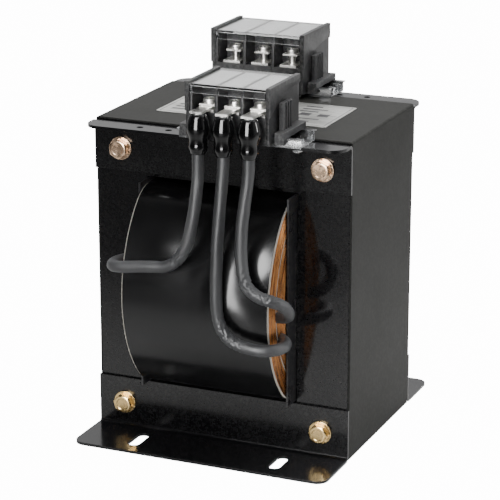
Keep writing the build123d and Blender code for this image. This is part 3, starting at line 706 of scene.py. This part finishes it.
# %% Threads
def thread(radius, pitch, start, end, count=30):
    """A right-hand thread along the local Z axis."""
    steps = max(int((end - start) / pitch * 6), 2)
    rings = []
    for step in range(steps + 1):
        height = start + (end - start) * step / steps
        turn = [(height / pitch - i / count) % 1.0 for i in range(count)]
        depth = [0.6 * pitch * abs(2 * t - 1) for t in turn]
        fade = min(1.0, (end - height) / pitch + 0.2)
        rings.append([
            (
                (radius - d * fade - (1 - fade) * 0.5 * pitch) * cos(tau * i / count),
                (radius - d * fade - (1 - fade) * 0.5 * pitch) * sin(tau * i / count),
                height,
            )
            for i, d in enumerate(depth)
        ])
    return loft(rings)


print("thread helper ready")

# %% [markdown]
# The four bolts stand in the corners of the core. Their heads, washers and nuts sit where the
# solid ones do, and no two hexagons stop at the same angle when they are tightened.

# %% Clamping bolts
core_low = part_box("core_e_stack")[0] / MM
core_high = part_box("core_i_stack")[1] / MM
corner_inset = 20.0
bolt_radius = 4.0
thread_pitch = 1.25
head_width = 13.0
head_turns = (17, 4, 26, 11)
bolt_spots = [
    (x, z)
    for x in (core_low.x + corner_inset, core_high.x - corner_inset)
    for z in (core_low.z + corner_inset, core_high.z - corner_inset)
]
bolt_low, bolt_high = (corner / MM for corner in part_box("clamp_bolts"))
washer_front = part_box("flat_washers")[0].y / MM
nut_low, nut_high = (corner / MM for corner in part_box("clamp_nuts"))
thread_start = nut_low.y - 4
forwards = Matrix.Rotation(radians(90), 4, "X")
backwards = Matrix.Rotation(radians(-90), 4, "X")
heads, nuts = [], []
for (x, z), head_turn in zip(bolt_spots, head_turns):
    turned = Matrix.Rotation(radians(head_turn), 4, "Z")
    head_at = Matrix.Translation((x, washer_front, z)) @ forwards @ turned
    heads.append(moved(hex_body(head_width, washer_front - bolt_low.y), head_at))
    tail_at = Matrix.Translation((x, 0, z)) @ backwards
    shank = [circle(bolt_radius, washer_front + 1), circle(bolt_radius, thread_start)]
    heads.append(moved(loft(shank), tail_at))
    heads.append(moved(thread(bolt_radius, thread_pitch, thread_start, bolt_high.y), tail_at))
    nut_at = Matrix.Translation((x, nut_low.y, z)) @ backwards @ turned
    nuts.append(moved(hex_body(head_width, nut_high.y - nut_low.y, both_ends=True), nut_at))
dress(make_piece("clamping_bolts_hex", heads, passivated_zinc), "clamp_bolts")
dress(make_piece("clamping_nuts_hex", nuts, passivated_zinc), "clamp_nuts")
print("bolts:", len(bolt_spots))

# %% [markdown]
# ## Coil
#
# The coil is wound over a former on the centre leg and covered with black film. Film pulled
# over a round coil never lies perfectly flat: it is dented between its tight places and folded
# beside the leads, and on a black gloss surface only those dents catch the light. The film's
# outline is read off the solid coil by casting rays in from all round towards the coil's axis,
# and the dents are then added as small moves in and out.

# %% Coil outlines
coil_middle = (core_low.z + core_high.z) / 2
steps_round = 240
cast_from = 300.0


def outline(node):
    """How far a coil layer's outside is from the coil's axis, all the way round."""
    low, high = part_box(node)
    tree_of_faces = BVHTree.FromObject(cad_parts[node], bpy.context.evaluated_depsgraph_get())
    reach = []
    for i in range(steps_round):
        angle = tau * i / steps_round
        away = Vector((0.0, cos(angle), sin(angle)))
        far = Vector(((low.x + high.x) / 2, 0.0, coil_middle * MM)) + away * (cast_from * MM)
        hit = tree_of_faces.ray_cast(far, -away)[0]
        reach.append((hit - far).length)
    return [cast_from - distance / MM for distance in reach]


def layer_ring(radii, x):
    """A ring round the coil's axis at one place along it."""
    return [
        (x, r * cos(tau * i / steps_round), coil_middle + r * sin(tau * i / steps_round))
        for i, r in enumerate(radii)
    ]


wrap_reach = outline("outer_wrap")
paper_reach = outline("outer_paper")
winding_reach = outline("outer_winding")
inner_reach = outline("inner_winding")
print("wrap stands", round(max(wrap_reach), 1), "mm from the coil's axis")

# %% [markdown]
# The dents are soft hills with a height, a place, a reach each way and a lean, in millimetres
# on the coil's face. They lie beside the leads and between them. They fade out where the face
# turns up and down, and a little noise keeps the rest from being perfect.

# %% Black film
def hill(x, z, at_x, at_z, reach_x, reach_z, lean=0.0):
    """A soft bump of height 1 on the coil's face; lean slides it sideways with height."""
    across = (x - at_x - lean * (z - at_z)) / reach_x
    up = (z - at_z) / reach_z
    return exp(-across * across - up * up)


film_hills = [
    (1.2, -27.0, 161.0, 15.0, 8.0, -0.35),
    (-0.4, -40.0, 150.0, 24.0, 8.0, 0.0),
    (1.45, 20.0, 148.0, 9.5, 40.0, 0.02),
    (1.5, 31.0, 119.0, 10.0, 12.0, -0.55),
    (-0.5, 46.0, 118.0, 12.0, 12.0, -0.3),
    (1.25, 43.0, 160.0, 10.0, 13.0, -0.15),
    (-0.5, 52.0, 143.0, 9.0, 9.0, 0.2),
    (0.7, 6.0, 152.0, 8.0, 14.0, 0.4),
    (-0.35, 0.0, 130.0, 26.0, 22.0, 0.0),
    (-0.3, -30.0, 105.0, 30.0, 24.0, 0.2),
]
wrap_low, wrap_high = (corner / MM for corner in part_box("outer_wrap"))
film_rows = 72
film_thickness = 0.75
film_slack = 0.15
deepest_dent = 0.7
fade_start = 0.55
film_rings = []
for row in range(film_rows + 1):
    x = wrap_low.x + (wrap_high.x - wrap_low.x) * row / film_rows
    ring = []
    for i, reach in enumerate(wrap_reach):
        angle = tau * i / steps_round
        height = coil_middle + reach * sin(angle)
        front = min(1.0, max(0.0, (-cos(angle) - fade_start) * 5))
        move = front * sum(size * hill(x, height, *where) for size, *where in film_hills)
        move += 0.12 * noise.noise((x * 0.03, 2.2 * cos(angle), 2.2 * sin(angle)))
        move -= film_slack
        if move < 0.0:
            move = deepest_dent * tanh(move / deepest_dent)
        elif front == 0.0:
            move = 0.0
        ring.append(reach + move)
    film_rings.append(layer_ring(ring, x))
lining = [layer_ring([r - film_thickness for r in wrap_reach], x) for x in (wrap_high.x, wrap_low.x)]
film = make_piece("coil_film", [loft(film_rings + lining + film_rings[:1], caps=False)], wrap_film, sharp=60)
dress(film, "outer_wrap")
print("film corners:", len(film.data.vertices))

# %% [markdown]
# Inside the film lies a cream paper, whose edge shows at both ends. It is a thin sleeve that
# follows the solid paper's outline and waves a little.

# %% Paper
paper_low, paper_high = (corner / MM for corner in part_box("outer_paper"))
paper_inside = [r - 0.75 for r in paper_reach]
paper_rings = []
for radii, x in (
    (paper_inside, paper_low.x), (paper_reach, paper_low.x),
    (paper_reach, wrap_low.x), (paper_reach, wrap_high.x),
    (paper_reach, paper_high.x), (paper_inside, paper_high.x),
):
    waviness = [0.12 * noise.noise((x, 9.0 * i / steps_round, 0.5)) for i in range(steps_round)]
    paper_rings.append(layer_ring([r - 0.05 + w * 0.4 for r, w in zip(radii, waviness)], x))
paper_rings.append(paper_rings[0])
paper = make_piece("coil_paper", [loft(paper_rings, caps=False)], insulating_paper, sharp=50)
dress(paper, "outer_paper")
print("paper corners:", len(paper.data.vertices))

# %% [markdown]
# Inside the paper are the windings. What shows at their ends is the last turn of each layer
# of thick enamelled wire, one layer lying on the next, so each layer has one bead round the
# coil at each end. The turns between the ends are hidden, and the body there is plain.

# %% Windings
def bead(radii, x, thickness, standing):
    """The last turn of one layer, which shows at a coil's end."""
    rings = []
    for k in range(8):
        angle = tau * k / 8
        rings.append(layer_ring([r + thickness / 2 * cos(angle) for r in radii], x + standing * sin(angle)))
    return loft(rings + rings[:1], caps=False)


bead_room = 1.3


def winding(node, reach, layers, build, name):
    """A winding's body with a bead for every layer at both its ends."""
    low, high = (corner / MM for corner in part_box(node))
    wire = build / layers
    inside = [r - build + 0.2 for r in reach]
    outside = [r - 0.2 for r in reach]
    start, end = low.x + bead_room, high.x - bead_room
    section = [(inside, start), (outside, start), (outside, end), (inside, end)]
    body = [layer_ring(radii, x) for radii, x in section]
    shapes = [loft(body + body[:1], caps=False)]
    for layer in range(layers):
        for x, way in ((low.x + 0.35, -1), (high.x - 0.35, 1)):
            radii = []
            for i, r in enumerate(reach):
                angle = tau * i / steps_round
                wander = 0.16 * noise.noise((layer * 3.1 + way, 14.0 * cos(angle), 14.0 * sin(angle)))
                radii.append(r - wire * (layer + 0.5) + wander)
            shapes.append(bead(radii, x + way * 0.1, wire * 0.94, wire * 0.42))
    return dress(make_piece(name, shapes, copper, sharp=60), node)


layers_of_turns = 10
winding("outer_winding", [r - 0.1 for r in winding_reach], layers_of_turns, 15.2, "outer_turns")
winding("inner_winding", [r - 0.1 for r in inner_reach], layers_of_turns, 15.8, "inner_turns")
for node, slot, material in (
    ("interlayer_insulation", "white_paper", insulating_paper), ("coil_former", "press_board", press_board),
    ("bolt_sleeves", "press_board", press_board),
):
    soften(node, material, 0.1)
print("windings: 2, with", layers_of_turns, "layers of turns each")

# %% [markdown]
# ## Lead boots
#
# Each tap lead enters a black shrink boot that swells over the lug's barrel and narrows to
# the lead. It is a lathe shape: a rounded shoulder, a belly, a slow taper, and a thin lip.
# The shrink pulls unevenly, so the rings wander a little and show faint rings of tension.

# %% Lead boots
boot_low, boot_high = (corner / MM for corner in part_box("lead_boots"))
boot_outline = [
    (0.0, 3.6), (0.2, 4.9), (0.9, 5.7), (2.5, 6.5), (5.0, 7.3), (8.0, 8.0), (10.5, 8.4), (12.5, 8.4),
    (14.5, 7.9), (16.5, 7.1), (18.5, 6.6), (20.5, 6.5), (22.5, 6.75), (24.2, 6.95), (25.6, 6.6),
    (27.0, 6.05), (28.4, 5.75), (28.9, 5.4), (29.0, 4.7),
]
boot_sides = 48
widest_boot = 8.5
boots = []
for number, x in enumerate(lug_x):
    rings = []
    for drop, radius in boot_outline:
        ring = []
        for i in range(boot_sides):
            angle = tau * i / boot_sides
            pull = 0.10 * noise.noise((number * 5.0 + cos(angle), sin(angle), drop * 0.35))
            tension = 0.05 * sin(drop * 2.4 + number) * (1.0 if 12.0 < drop < 27.0 else 0.0)
            reach = min(radius + pull + tension, widest_boot)
            ring.append((x + reach * cos(angle), lead_y + reach * sin(angle), boot_high.z - drop))
        rings.append(ring)
    boots.append(loft(rings))
dress(make_piece("shrink_boots", boots, boot_shrink, sharp=60), "lead_boots")
print("boots:", len(boots))

# %% [markdown]
# ## Rating plate
#
# The plate carries its data and a wiring diagram as dark ink. The marks here are blank bars,
# boxes and a plain line diagram, raised by a few hundredths of a millimetre like real ink.

# %% Rating plate
plate_low, plate_high = (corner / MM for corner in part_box("rating_plate"))
ink_top = plate_high.z + 0.06


def mark(x0, y0, x1, y1):
    """A thin bar of ink."""
    flat = [(x0, y0), (x1, y0), (x1, y1), (x0, y1)]
    inset = [(x0 + 0.05, y0 + 0.05), (x1 - 0.05, y0 + 0.05), (x1 - 0.05, y1 - 0.05), (x0 + 0.05, y1 - 0.05)]
    return loft([
        [(x, y, plate_high.z - 0.02) for x, y in flat],
        [(x, y, ink_top - 0.02) for x, y in flat],
        [(x, y, ink_top) for x, y in inset],
    ])


plate_edge = 2.2
rule = 0.5
marks = []
for y in (plate_low.y + plate_edge, plate_high.y - plate_edge - rule):
    marks.append(mark(plate_low.x + plate_edge, y, plate_high.x - plate_edge, y + rule))
for x in (plate_low.x + plate_edge, plate_high.x - plate_edge - rule):
    marks.append(mark(x, plate_low.y + plate_edge, x + rule, plate_high.y - plate_edge))
line_step = 7.4
bar = 2.6
lines_beside_diagram = (3, 4)
for column in range(2):
    left = plate_low.x + 8 + column * 64
    for line in range(7):
        if column == 1 and line in lines_beside_diagram:
            continue
        y = plate_high.y - 8 - line * line_step
        marks.append(mark(left, y - bar, left + 14 + (line * 5) % 9, y))
        marks.append(mark(left + 27, y - bar, left + 40 + (line * 7) % 12, y))
        marks.append(mark(left, y - 4.4, left + 54, y - 4.1))
block, block_step = 8.5, 14.5
for number in range(4):
    x = 6.0 + number * block_step
    marks.append(mark(x, -4.2, x + block, 3.6))
    marks.append(mark(x + block, -0.6, x + block_step, 0.0))
plate_marks = make_piece("rating_plate_marks", marks, plate_ink, sharp=30)
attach(plate_marks, "frame")
print("ink marks:", len(marks))

# %% [markdown]
# ## Sleeving
#
# The tap leads were shaped before there was a finish to give them, so they get it here.

# %% Sleeving
for lead in leads.values():
    lead.data.materials.append(lead_sleeve)
print("leads sleeved")

# %% [markdown]
# ## Floor
#
# The stage is a plain pale floor. Black gloss shows only what it mirrors, and a white floor in
# front would turn it grey. So the floor darkens towards the front, and an emission that only
# the camera sees keeps it white to the eye.

# %% Floor
floor_data = bpy.data.meshes.new("floor")
floor_size = 6.0
just_under = -0.0005
ways = [(-1, -1), (1, -1), (1, 1), (-1, 1)]
floor_corners = [(x * floor_size, y * floor_size, just_under) for x, y in ways]
floor_data.from_pydata(floor_corners, [], [(0, 1, 2, 3)])
floor = bpy.data.objects.new("floor", floor_data)
bpy.context.scene.collection.objects.link(floor)
floor_paint = finish(
    "floor_paint", (0.86, 0.86, 0.85), (0.88, 0.88, 0.87), 0.6, 0.05, grain=900, depth=0.05, mottle=3,
)
tree = floor_paint.node_tree
shader = tree.nodes["Principled BSDF"]
tones = shader.inputs["Base Color"].links[0].from_socket
place = tree.nodes.new("ShaderNodeTexCoord")
axes = tree.nodes.new("ShaderNodeSeparateXYZ")
tree.links.new(place.outputs["Object"], axes.inputs[0])
pale_until, dark_from = -0.16, -0.46
far_off = mask_range(tree, axes.outputs["Y"], pale_until, dark_from)
tree.links.new(mix_colour(tree, far_off, tones, (0.03, 0.03, 0.03)), shader.inputs["Base Color"])
camera_white = 16.0
lit = tree.nodes.new("ShaderNodeEmission")
lit.inputs["Strength"].default_value = camera_white
to_camera = tree.nodes.new("ShaderNodeLightPath")
share = math_node(tree, "MULTIPLY", to_camera.outputs["Is Camera Ray"], 0.9)
blend_in = tree.nodes.new("ShaderNodeMixShader")
tree.links.new(share, blend_in.inputs[0])
tree.links.new(shader.outputs[0], blend_in.inputs[1])
tree.links.new(lit.outputs[0], blend_in.inputs[2])
tree.links.new(blend_in.outputs[0], tree.nodes["Material Output"].inputs[0])
floor.data.materials.append(floor_paint)
print("floor darkens from", pale_until, "to", dark_from, "m")

# %% [markdown]
# ## Room
#
# The room is bright above and behind, and dark in front. Three grey ramps over the direction
# of the light make it, one for each axis, multiplied together. As with the floor, the camera
# itself sees plain white.

# %% Room
world = bpy.data.worlds.new("studio")
bpy.context.scene.world = world
world.use_nodes = True
tree = world.node_tree
tree.nodes.clear()
direction = tree.nodes.new("ShaderNodeTexCoord")
split = tree.nodes.new("ShaderNodeSeparateXYZ")
tree.links.new(direction.outputs["Generated"], split.inputs[0])


def grey_ramp(axis, stops):
    """A grey ramp over a direction's share of one axis, from -1 at place 0 to 1 at place 1."""
    value = math_node(tree, "MULTIPLY_ADD", split.outputs[axis], 0.5, 0.5)
    node = tree.nodes.new("ShaderNodeValToRGB")
    while len(node.color_ramp.elements) < len(stops):
        node.color_ramp.elements.new(0.5)
    for element, (place, grey) in zip(node.color_ramp.elements, stops):
        element.position = place
        element.color = (grey, grey, grey, 1.0)
    tree.links.new(value, node.inputs[0])
    return node.outputs[0]


by_height = grey_ramp("Z", [(0.0, 0.25), (0.48, 0.35), (0.58, 0.95), (0.8, 1.0)])
by_depth = grey_ramp("Y", [(0.0, 0.02), (0.35, 0.05), (0.6, 0.55), (0.85, 1.0)])
by_side = grey_ramp("X", [(0.0, 0.75), (0.5, 0.8), (1.0, 0.8)])
brightness = 1.45
room = math_node(tree, "MULTIPLY", by_height, by_depth)
room = math_node(tree, "MULTIPLY", room, by_side)
room = math_node(tree, "MULTIPLY", room, brightness)
seen = tree.nodes.new("ShaderNodeLightPath")
pick = tree.nodes.new("ShaderNodeMix")
pick.data_type = "FLOAT"
tree.links.new(seen.outputs["Is Camera Ray"], pick.inputs["Factor"])
tree.links.new(room, pick.inputs["A"])
pick.inputs["B"].default_value = camera_white
background = tree.nodes.new("ShaderNodeBackground")
tree.links.new(pick.outputs["Result"], background.inputs["Strength"])
output = tree.nodes.new("ShaderNodeOutputWorld")
tree.links.new(background.outputs[0], output.inputs[0])
print("room brightness:", brightness)

# %% [markdown]
# ## Lamps
#
# A large softbox above does most of the lighting, with a weak key in front and a weaker one at
# the right. The two strips add nothing to matt surfaces and are there for the highlights in
# black gloss.

# %% Lamps
def softbox(name, place, aim, width, tall, power, glints_only=False):
    """A rectangular lamp that faces a point; one for glints shows only in gloss."""
    data = bpy.data.lights.new(name, "AREA")
    data.shape = "RECTANGLE"
    data.size = width
    data.size_y = tall
    data.energy = power
    lamp = bpy.data.objects.new(name, data)
    bpy.context.scene.collection.objects.link(lamp)
    lamp.location = place
    lamp.visible_diffuse = not glints_only
    lamp.rotation_euler = (Vector(aim) - Vector(place)).to_track_quat("-Z", "Y").to_euler()
    return lamp


lamps = [
    softbox("top_softbox", (0.1, 0.35, 1.7), (0, 0, 0.15), 1.8, 1.4, 38),
    softbox("front_strip", (0.02, -1.75, 0.82), (0, 0, 0.22), 0.85, 1.6, 95, glints_only=True),
    softbox("front_key", (0.75, -1.55, 1.75), (0, -0.05, 0.2), 0.6, 0.5, 6),
    softbox("right_softbox", (1.9, -0.2, 0.5), (0, 0, 0.15), 1.2, 1.2, 1),
    softbox("right_strip", (1.6, 0.55, 0.7), (0, -0.1, 0.22), 0.25, 0.9, 12, glints_only=True),
]
print("lamps:", [lamp.name for lamp in lamps])
